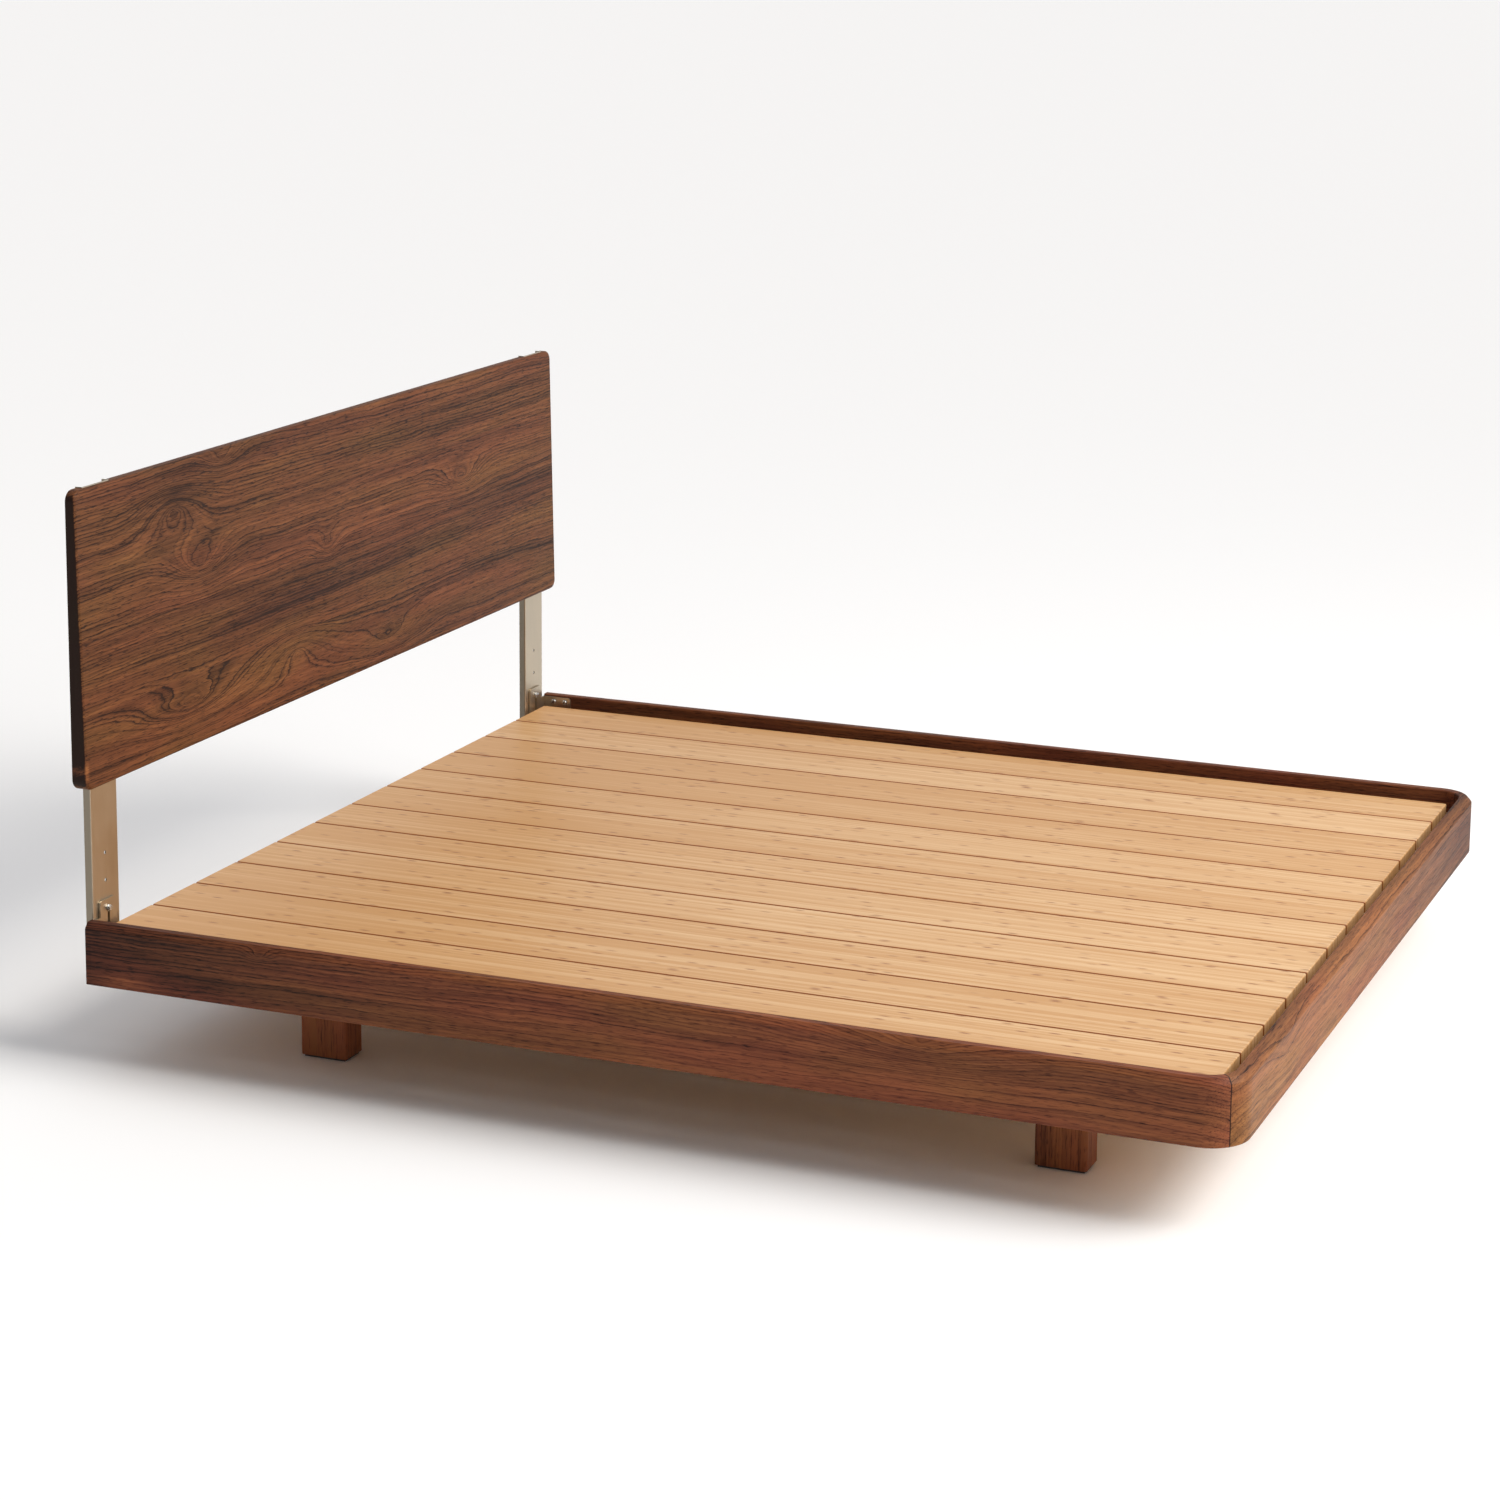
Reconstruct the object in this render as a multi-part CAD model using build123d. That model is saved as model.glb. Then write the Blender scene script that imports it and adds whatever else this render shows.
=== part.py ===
"""Walnut bed frame with a bamboo slat deck and a headboard on two steel posts.

Frame of reference: +X across the width, +Y from the foot towards the headboard, +Z up.
The origin is on the floor, in the middle of the bed's own box. Everything is in millimetres.
"""
from build123d import *
import math
import os

os.makedirs("parts", exist_ok=True)

# Overall sizes
LENGTH = 2084.0          # foot rail's outer face to the back of the headboard
WIDTH = 1860.0           # across the side rails
FOOT = -LENGTH / 2       # outer face of the foot rail
BACK = LENGTH / 2        # back of the headboard
HEAD_END = BACK - 16.0   # head ends of the side rails

# Rails
RAIL_T = 26.0
RAIL_H = 112.0
RAIL_BOTTOM = 144.0
RAIL_TOP = RAIL_BOTTOM + RAIL_H
CORNER_R = 70.0          # outer radius of the foot corners
BEVEL_IN = 9.0           # bevel on the outer top edge: across the top
BEVEL_DOWN = 10.0        # and down the face
UNDER_R = 2.5            # roundings of the section: bottom corners,
INNER_R = 3.5            # inner top corner,
RIDGE_R = 2.0            # ridge of the bevel,
SHOULDER_R = 4.0         # and its lower edge
INNER_X = WIDTH / 2 - RAIL_T
INNER_FOOT = FOOT + RAIL_T

# Slat deck
SLAT_COUNT = 12
SLAT_PITCH = 440.0 / 3
SLAT_GAP = 2.6
SLAT_T = 20.0
DECK = 236.0             # top of the slats
DECK_UNDER = DECK - SLAT_T
SLAT_FOOT = FOOT + 52.0
SLAT_HEAD = HEAD_END - 12.0
SLAT_CORNER_R = 5.0      # corners of a slat
SLAT_EDGE_R = 2.5        # and its top edges

# Bearers and cleats under the deck
BEARER_H = 46.0
BEARER_UNDER = DECK_UNDER - BEARER_H
BEARER_W = 40.0
BEARER_END_GAP = 2.0
CLEAT_W = 30.0
CLEAT_UNDER = RAIL_BOTTOM + 2.0
FOOT_CLEAT_W = 40.0
FOOT_CLEAT_H = 30.0
FOOT_CLEAT_HALF = 842.0
CLEAT_SCREWS = 7         # in each cleat
CLEAT_SCREW = 48.0       # lengths
FOOT_CLEAT_SCREW = 58.0
SLAT_SCREW = 58.0
BEAM_SCREW = 75.0
ANGLE_SCREW = 22.0
HEAD_RAIL_T = 24.0
HEAD_RAIL_BACK = HEAD_END - 14.0
HEAD_RAIL_FRONT = HEAD_RAIL_BACK - HEAD_RAIL_T
CENTRE_BEAM_W = 60.0
CENTRE_BEAM_H = 40.0
CENTRE_BEAM_UNDER = BEARER_UNDER - CENTRE_BEAM_H

# Legs
LEG_X = 60.0             # section across the bed
LEG_Y = 90.0             # section along the bed
LEG_OUT = 750.0          # outer faces of the legs from the middle
LEG_CENTRE_X = LEG_OUT - LEG_X / 2
LEG_FOOT_Y = FOOT + 297.0 + LEG_Y / 2
LEG_HEAD_Y = HEAD_END - 322.0 - LEG_Y / 2
LEG_PLATE_T = 4.0
LEG_TOP = BEARER_UNDER - LEG_PLATE_T
LEG_BEAM_W = LEG_Y + 6.0
PAD_T = 4.0
PAD_INSET = 5.0
CENTRE_LEG = 50.0
CENTRE_LEG_FOOT_H = 14.0
CENTRE_LEG_CHAMFER = 4.0
FOOT_PAD_R = 18.0        # levelling foot: pad, collar and stem
FOOT_PAD_H = 8.0
FOOT_COLLAR_R = 8.0
FOOT_STEM_R = 4.0
FOOT_STEM = 40.0
LEG_CORNER_R = 5.0       # upright corners of the four legs
LEG_FOOT_R = 1.5         # and their bottom edges
LEG_BOLT_R = 5.0
LEG_BOLT_APART = 44.0

# Headboard panel: flat back, front face leaning back as it rises
PANEL_W = 1868.0
PANEL_BOTTOM = 493.0
PANEL_TOP = 1020.0
PANEL_T_BOTTOM = 31.0
PANEL_T_TOP = 19.0
PANEL_CORNER_R = 20.0
PANEL_EDGE_R = 6.0       # front edges
PANEL_BACK_R = 2.5       # back edges

# Posts: folded steel channels, open at the back
POST_W = 85.0
POST_D = 14.0
POST_T = 2.5
POST_BEND_R = 3.0
POST_X = 857.5
POST_BOTTOM = RAIL_BOTTOM + 2.0
POST_TOP = PANEL_TOP + 1.5
POST_FRONT = BACK - POST_D

# Height setting: bolts in the posts ride in slots in the brackets
BOLT_R = 3.0
HOLE_R = 3.3
BOLT_Z = DECK + 28.0
HOLE_PITCH = 50.0
TRAVEL = 2 * HOLE_PITCH
HEX_ACROSS = 10.0
BOLT_HEAD_H = 4.5
WASHER_R = 6.5
WASHER_T = 1.2
NUT_H = 5.0
SLOT_R = 3.6
BOLT_LENGTH = 17.0
BOLT_SLACK = 0.3         # between the washer and the bracket
SCREW_HEAD_R = 4.5       # pan-head screws of the panel
SCREW_HEAD_H = 2.5
SCREW_R = 2.25

# Brackets between the side rails and the posts
PLATE_T = 4.0
PLATE_BACK = POST_FRONT - 0.5
PLATE_FRONT = PLATE_BACK - PLATE_T
PLATE_HALF = 26.0
PLATE_TOP = BOLT_Z + 17.0
PLATE_BOTTOM = RAIL_BOTTOM + 2.0
SHOULDER = RAIL_TOP - 4.0
WING_BOTTOM = DECK_UNDER + 3.0
WING_FRONT = HEAD_END - 66.0
PLATE_CORNER_R = 8.0
BUTTON_R = 5.5           # button-head bolts in the wing
BUTTON_H = 3.5
BUTTON_EDGE_R = 2.0


def block(x0, x1, y0, y1, z0, z1):
    """A box between two corners."""
    middle = ((x0 + x1) / 2, (y0 + y1) / 2, (z0 + z1) / 2)
    return Pos(*middle) * Box(abs(x1 - x0), abs(y1 - y0), abs(z1 - z0))


def rod(radius, start, direction, length):
    """A cylinder from a start point along a direction."""
    return extrude(Plane(origin=start, z_dir=direction) * Circle(radius), length)


def hexagon_prism(across, start, direction, length):
    """A six-sided prism from a start point along a direction."""
    hexagon = RegularPolygon(across / 2, 6, major_radius=False)
    return extrude(Plane(origin=start, z_dir=direction) * hexagon, length)


def wood_screw(head, direction, length, radius=2.0):
    """A countersunk screw: the flat of its head is at head, and it points along direction."""
    plane = Plane(origin=head, z_dir=direction)
    half = [(0, 0), (2 * radius, 0), (radius, radius), (radius, length - radius), (0, length)]
    profile = make_face(Polyline(*half, close=True))
    profile = Plane.XZ * profile
    return plane * revolve(profile, Axis.Z, 360)


def mirrored(shape):
    """The same piece on the other side of the bed."""
    return mirror(shape, about=Plane.YZ)


def pair(shape):
    """A piece and its mirror image as separate solids."""
    return [*shape.solids(), *mirrored(shape).solids()]


def group(shapes):
    """Several separate solids in one node."""
    solids = []
    for shape in shapes:
        solids.extend(shape.solids())
    return Compound(children=solids)


# ---------------------------------------------------------------- rails

def rail_section():
    """The rails' section: x from the outer face inwards, y up from the bottom."""
    points = [(0, 0), (RAIL_T, 0), (RAIL_T, RAIL_H), (BEVEL_IN, RAIL_H), (0, RAIL_H - BEVEL_DOWN)]
    radii = [UNDER_R, UNDER_R, INNER_R, RIDGE_R, SHOULDER_R]
    face = make_face(Polyline(*points, close=True))
    for (x, y), radius in zip(points, radii):
        corner = [v for v in face.vertices() if abs(v.X - x) < 0.1 and abs(v.Y - y) < 0.1]
        face = fillet(corner, radius)
    return face


def straight_rail(start, run, length, inwards):
    """A straight stretch of rail from start, with its section's x pointing inwards."""
    plane = Plane(origin=start, x_dir=inwards, z_dir=Vector(*inwards).cross(Vector(0, 0, 1)))
    solid = extrude(plane * rail_section(), length * (1 if plane.z_dir.dot(Vector(*run)) > 0 else -1))
    return solid


def corner_rail(start, inwards, turn):
    """A 45 degree stretch of the rounded corner, turned from start about the corner's centre."""
    plane = Plane(origin=start, x_dir=inwards, z_dir=Vector(*inwards).cross(Vector(0, 0, 1)))
    centre = Vector(*start) + Vector(*inwards) * CORNER_R
    return revolve(plane * rail_section(), Axis(tuple(centre), (0, 0, turn)), 45)


def side_rail():
    """The left side rail: straight to the head end, with half of the foot corner."""
    corner_start = (-WIDTH / 2, FOOT + CORNER_R, RAIL_BOTTOM)
    straight = straight_rail(corner_start, (0, 1, 0), HEAD_END - FOOT - CORNER_R, (1, 0, 0))
    corner = corner_rail(corner_start, (1, 0, 0), 1)
    return straight + corner


def foot_rail():
    """The foot rail: straight across, with half of each corner."""
    half = WIDTH / 2 - CORNER_R
    straight = straight_rail((-half, FOOT, RAIL_BOTTOM), (1, 0, 0), 2 * half, (0, 1, 0))
    left = corner_rail((-half, FOOT, RAIL_BOTTOM), (0, 1, 0), -1)
    return straight + left + mirrored(left)


TONGUE = (4.0, 16.0, 80.0)      # thickness, width and height of the tongue in a mitre


def mitre_tongue():
    """A plywood tongue across the left foot mitre."""
    reach = (CORNER_R - RAIL_T / 2) / math.sqrt(2)
    x = -WIDTH / 2 + CORNER_R - reach
    y = FOOT + CORNER_R - reach
    thick, wide, high = TONGUE
    return Pos(x, y, RAIL_BOTTOM + 12 + high / 2) * Rot(0, 0, 45) * Box(wide, thick, high)


CORNER_BLOCK = 62.0
CORNER_BLOCK_H = 40.0
CORNER_BLOCK_UNDER = BEARER_UNDER + 2.0
CORNER_BLOCK_LIP = 14.0         # width of its two free ends
CORNER_SCREW = 38.0             # length


def corner_block():
    """A block glued and screwed inside the left foot corner."""
    inner_r = CORNER_R - RAIL_T
    x0 = -INNER_X
    y0 = INNER_FOOT
    top = x0 + CORNER_BLOCK
    side = y0 + CORNER_BLOCK
    lip = CORNER_BLOCK_LIP
    outline = [(x0, y0), (top, y0), (top, y0 + lip), (x0 + lip, side), (x0, side)]
    face = make_face(Polyline(*outline, close=True))
    face = fillet([v for v in face.vertices() if v.X < x0 + 1 and v.Y < y0 + 1], inner_r)
    return Pos(0, 0, CORNER_BLOCK_UNDER) * extrude(face, CORNER_BLOCK_H)


def corner_screws():
    """Two screws from the left corner block into each rail."""
    screws = []
    for z in (CORNER_BLOCK_UNDER + 10, CORNER_BLOCK_UNDER + 30):
        along = CORNER_BLOCK - CORNER_BLOCK_LIP / 2
        near_rail = (-INNER_X + 20, INNER_FOOT + along, z)
        near_foot = (-INNER_X + along, INNER_FOOT + 20, z)
        screws.append(wood_screw(near_rail, (-1, 0, 0), CORNER_SCREW))
        screws.append(wood_screw(near_foot, (0, -1, 0), CORNER_SCREW))
    return group(screws)


# ---------------------------------------------------------------- under the deck

def side_cleat():
    """The left cleat that carries the ends of the bearers."""
    start = INNER_FOOT + CORNER_R - RAIL_T + 4
    return block(-INNER_X, -INNER_X + CLEAT_W, start, HEAD_RAIL_FRONT, CLEAT_UNDER, BEARER_UNDER)


def cleat_screws():
    """Screws from the left cleat into the side rail."""
    margin = 120
    step = (HEAD_RAIL_FRONT - INNER_FOOT - 2 * margin) / (CLEAT_SCREWS - 1)
    z = (CLEAT_UNDER + BEARER_UNDER) / 2
    head = -INNER_X + CLEAT_W
    places = [INNER_FOOT + margin + step * i for i in range(CLEAT_SCREWS)]
    return group([wood_screw((head, y, z), (-1, 0, 0), CLEAT_SCREW) for y in places])


def foot_cleat():
    """The cleat inside the foot rail, under the slats' foot ends."""
    return block(-FOOT_CLEAT_HALF, FOOT_CLEAT_HALF, INNER_FOOT, INNER_FOOT + FOOT_CLEAT_W,
                 DECK_UNDER - FOOT_CLEAT_H, DECK_UNDER)


def foot_cleat_screws():
    """Screws from the foot cleat into the foot rail."""
    first = -FOOT_CLEAT_HALF + 62
    step = -2 * first / (CLEAT_SCREWS - 1)
    places = [first + step * i for i in range(CLEAT_SCREWS)]
    head = INNER_FOOT + FOOT_CLEAT_W
    z = DECK_UNDER - FOOT_CLEAT_H / 2
    return group([wood_screw((x, head, z), (0, -1, 0), FOOT_CLEAT_SCREW) for x in places])


def bearer(y, width):
    """A bearer across the bed, resting on both side cleats."""
    half = INNER_X - BEARER_END_GAP
    return block(-half, half, y - width / 2, y + width / 2, BEARER_UNDER, DECK_UNDER)


MIDDLE_STEP = (LEG_HEAD_Y - LEG_FOOT_Y) / 4
MIDDLE_BEARERS = [LEG_FOOT_Y + MIDDLE_STEP * i for i in (1, 2, 3)]


def head_rail():
    """The low cross rail at the head, under the slats' head ends."""
    return block(-INNER_X, INNER_X, HEAD_RAIL_FRONT, HEAD_RAIL_BACK, CLEAT_UNDER, DECK_UNDER)


ANGLE_W = 30.0
ANGLE_T = 3.0
ANGLE_Z = (BEARER_UNDER + 2.0, DECK_UNDER - 4.0)


def head_rail_angle():
    """A steel angle in the corner of the left side rail and the head rail."""
    z0, z1 = ANGLE_Z
    on_side = block(-INNER_X, -INNER_X + ANGLE_T, HEAD_RAIL_FRONT - ANGLE_W, HEAD_RAIL_FRONT, z0, z1)
    on_head = block(-INNER_X, -INNER_X + ANGLE_W, HEAD_RAIL_FRONT - ANGLE_T, HEAD_RAIL_FRONT, z0, z1)
    return on_side + on_head


def angle_screws():
    """Two screws through each leg of the left angle."""
    screws = []
    for z in (ANGLE_Z[0] + 10, ANGLE_Z[1] - 10):
        screws.append(wood_screw((-INNER_X + ANGLE_T, HEAD_RAIL_FRONT - 20, z), (-1, 0, 0), ANGLE_SCREW))
        screws.append(wood_screw((-INNER_X + 20, HEAD_RAIL_FRONT - ANGLE_T, z), (0, 1, 0), ANGLE_SCREW))
    return group(screws)


def centre_beam():
    """The beam along the middle, under the bearers."""
    ends = (LEG_FOOT_Y - LEG_BEAM_W / 2, LEG_HEAD_Y + LEG_BEAM_W / 2)
    return block(-CENTRE_BEAM_W / 2, CENTRE_BEAM_W / 2, ends[0], ends[1], CENTRE_BEAM_UNDER, BEARER_UNDER)


def centre_beam_screws():
    """A pair of screws up through the centre beam into each bearer."""
    screws = []
    for y in (LEG_FOOT_Y, *MIDDLE_BEARERS, LEG_HEAD_Y):
        for x in (-CENTRE_BEAM_W / 4, CENTRE_BEAM_W / 4):
            screws.append(wood_screw((x, y, CENTRE_BEAM_UNDER), (0, 0, 1), BEAM_SCREW))
    return group(screws)


def centre_leg(y):
    """A short post under the centre beam."""
    half = CENTRE_LEG / 2
    leg = block(-half, half, y - half, y + half, CENTRE_LEG_FOOT_H, CENTRE_BEAM_UNDER)
    return chamfer(leg.edges().filter_by(Axis.Z), CENTRE_LEG_CHAMFER)


def centre_leg_foot(y):
    """A levelling foot: a round pad with a threaded stem up into the centre leg."""
    pad = rod(FOOT_PAD_R, (0, y, 0), (0, 0, 1), FOOT_PAD_H)
    collar = rod(FOOT_COLLAR_R, (0, y, FOOT_PAD_H), (0, 0, 1), CENTRE_LEG_FOOT_H - FOOT_PAD_H)
    stem = rod(FOOT_STEM_R, (0, y, CENTRE_LEG_FOOT_H), (0, 0, 1), FOOT_STEM)
    return pad + collar + stem


# ---------------------------------------------------------------- slats

def slat(index):
    """One lengthwise slat, with rounded corners and eased top edges."""
    x = (index - (SLAT_COUNT - 1) / 2) * SLAT_PITCH
    length = SLAT_HEAD - SLAT_FOOT
    outline = Rectangle(SLAT_PITCH - SLAT_GAP, length)
    outline = fillet(outline.vertices(), SLAT_CORNER_R)
    board = extrude(outline, SLAT_T)
    board = fillet(board.faces().sort_by(Axis.Z)[-1].edges(), SLAT_EDGE_R)
    return Pos(x, (SLAT_FOOT + SLAT_HEAD) / 2, DECK_UNDER) * board


def slat_screws():
    """A screw up through each leg beam into every slat."""
    screws = []
    for index in range(SLAT_COUNT):
        x = (index - (SLAT_COUNT - 1) / 2) * SLAT_PITCH
        for y in (LEG_FOOT_Y + 30, LEG_HEAD_Y - 30):
            screws.append(wood_screw((x, y, BEARER_UNDER), (0, 0, 1), SLAT_SCREW))
    return group(screws)


# ---------------------------------------------------------------- legs

def leg(x, y):
    """A rectangular walnut leg with rounded corners."""
    body = block(x - LEG_X / 2, x + LEG_X / 2, y - LEG_Y / 2, y + LEG_Y / 2, PAD_T, LEG_TOP)
    body = fillet(body.edges().filter_by(Axis.Z), LEG_CORNER_R)
    return fillet(body.faces().sort_by(Axis.Z)[0].edges(), LEG_FOOT_R)


def leg_pad(x, y):
    """The felt pad under a leg."""
    half_x = LEG_X / 2 - PAD_INSET
    half_y = LEG_Y / 2 - PAD_INSET
    return block(x - half_x, x + half_x, y - half_y, y + half_y, 0, PAD_T)


def leg_plate(x, y):
    """The steel plate between a leg and its beam."""
    half_x = LEG_X / 2 - 4
    half_y = LEG_Y / 2 - 6
    return block(x - half_x, x + half_x, y - half_y, y + half_y, LEG_TOP, BEARER_UNDER)


def leg_bolts(x, y):
    """Two bolts from the beam down into the leg."""
    start = LEG_TOP - 50
    length = 90
    return [rod(LEG_BOLT_R, (x, y + side * LEG_BOLT_APART / 2, start), (0, 0, 1), length) for side in (-1, 1)]


LEG_PLACES = {
    "leg_foot_left": (-LEG_CENTRE_X, LEG_FOOT_Y),
    "leg_foot_right": (LEG_CENTRE_X, LEG_FOOT_Y),
    "leg_head_left": (-LEG_CENTRE_X, LEG_HEAD_Y),
    "leg_head_right": (LEG_CENTRE_X, LEG_HEAD_Y),
}


# ---------------------------------------------------------------- headboard

def headboard_panel():
    """The tapered panel, with a groove in its back for each post."""
    outline = RectangleRounded(PANEL_W, PANEL_TOP - PANEL_BOTTOM, PANEL_CORNER_R)
    middle = (0, BACK, (PANEL_TOP + PANEL_BOTTOM) / 2)
    board = extrude(Plane(origin=middle, x_dir=(1, 0, 0), z_dir=(0, -1, 0)) * outline, PANEL_T_BOTTOM)
    lean = math.degrees(math.atan2(PANEL_T_BOTTOM - PANEL_T_TOP, PANEL_TOP - PANEL_BOTTOM))
    front = Plane(origin=(0, BACK - PANEL_T_BOTTOM, PANEL_BOTTOM), x_dir=(1, 0, 0), z_dir=(0, -1, 0))
    front = front.rotated((-lean, 0, 0))
    board = split(board, bisect_by=front, keep=Keep.BOTTOM)
    board = fillet(board.faces().sort_by(Axis.Y)[0].edges(), PANEL_EDGE_R)
    board = fillet(board.faces().sort_by(Axis.Y)[-1].edges(), PANEL_BACK_R)
    low, high = PANEL_BOTTOM - 1, PANEL_TOP + 1
    for x in (-POST_X, POST_X):
        board = board - block(x - POST_W / 2, x + POST_W / 2, POST_FRONT, BACK + 1, low, high)
    return board


def post():
    """The left post: a channel with its web in front."""
    outer = Pos(-POST_X, POST_FRONT + POST_D / 2) * Rectangle(POST_W, POST_D)
    outer = fillet(outer.vertices().sort_by(Axis.Y)[0:2], POST_BEND_R)
    hollow = Pos(-POST_X, POST_FRONT + POST_T + POST_D / 2) * Rectangle(POST_W - 2 * POST_T, POST_D)
    channel = Pos(0, 0, POST_BOTTOM) * extrude(outer - hollow, POST_TOP - POST_BOTTOM)
    for step in range(3):
        hole_start = (-POST_X, POST_FRONT - 1, BOLT_Z + step * HOLE_PITCH)
        channel = channel - rod(HOLE_R, hole_start, (0, 1, 0), POST_T + 2)
    return channel


PANEL_SCREW_HEIGHTS = [PANEL_BOTTOM + 40 + 110 * step for step in range(3)]


def panel_screws():
    """Pan-head screws through the left post's web into the panel."""
    screws = []
    for z in PANEL_SCREW_HEIGHTS:
        for x in (-POST_X - 20, -POST_X + 20):
            web_back = POST_FRONT + POST_T
            head = rod(SCREW_HEAD_R, (x, web_back, z), (0, 1, 0), SCREW_HEAD_H)
            screws.append(head + rod(SCREW_R, (x, web_back, z), (0, -1, 0), POST_T + 7))
    return group(screws)


def post_bolt():
    """The left hexagon bolt, which holds the post to its bracket."""
    head_back = PLATE_FRONT - BOLT_SLACK - WASHER_T
    head = hexagon_prism(HEX_ACROSS, (-POST_X, head_back - BOLT_HEAD_H, BOLT_Z), (0, 1, 0), BOLT_HEAD_H)
    shank = rod(BOLT_R, (-POST_X, head_back, BOLT_Z), (0, 1, 0), BOLT_LENGTH)
    return head + shank


def post_washer():
    """The washer under the left bolt's head."""
    start = (-POST_X, PLATE_FRONT - BOLT_SLACK - WASHER_T, BOLT_Z)
    return rod(WASHER_R, start, (0, 1, 0), WASHER_T) - rod(BOLT_R, start, (0, 1, 0), WASHER_T)


def post_nut():
    """The nut inside the left post's channel."""
    start = (-POST_X, POST_FRONT + POST_T, BOLT_Z)
    return hexagon_prism(HEX_ACROSS, start, (0, 1, 0), NUT_H) - rod(BOLT_R, start, (0, 1, 0), NUT_H)


# ---------------------------------------------------------------- post brackets

def bracket():
    """The left bracket: a slotted plate in front of the post, and a wing on the side rail."""
    side = -INNER_X
    outer = -POST_X - PLATE_HALF
    inner = -POST_X + PLATE_HALF
    outline = [(side, PLATE_BOTTOM), (inner, PLATE_BOTTOM), (inner, PLATE_TOP), (outer, PLATE_TOP),
               (outer, SHOULDER), (side, SHOULDER)]
    face = make_face(Polyline(*outline, close=True))
    face = fillet([v for v in face.vertices() if v.Y > PLATE_TOP - 1], PLATE_CORNER_R)
    plane = Plane(origin=(0, PLATE_FRONT, 0), x_dir=(1, 0, 0), z_dir=(0, -1, 0))
    plate = extrude(plane * face, -PLATE_T)
    wing = block(side, side + PLATE_T, WING_FRONT, PLATE_BACK, WING_BOTTOM, SHOULDER)
    wing_corners = [e for e in wing.edges().filter_by(Axis.X) if e.center().Y < WING_FRONT + 1]
    wing = fillet(wing_corners, PLATE_CORNER_R)
    heel = block(side, side + PLATE_T, HEAD_RAIL_BACK + 1, PLATE_BACK, PLATE_BOTTOM, WING_BOTTOM)
    slot_mid = (-POST_X, BOLT_Z - TRAVEL / 2)
    slot = extrude(plane * Pos(*slot_mid) * SlotCenterToCenter(TRAVEL, 2 * SLOT_R, rotation=90), -PLATE_T)
    return plate + wing + heel - slot


def bracket_bolts():
    """Button-head bolts through the left bracket's wing into the side rail."""
    bolts = []
    for y in (WING_FRONT + 14, WING_FRONT + 40):
        start = (-INNER_X + PLATE_T, y, DECK + 6)
        head = rod(BUTTON_R, start, (1, 0, 0), BUTTON_H)
        head = fillet(head.faces().sort_by(Axis.X)[-1].edges(), BUTTON_EDGE_R)
        bolts.append(head + rod(BOLT_R, start, (-1, 0, 0), PLATE_T + 18))
    return group(bolts)


# ---------------------------------------------------------------- assembly

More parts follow.
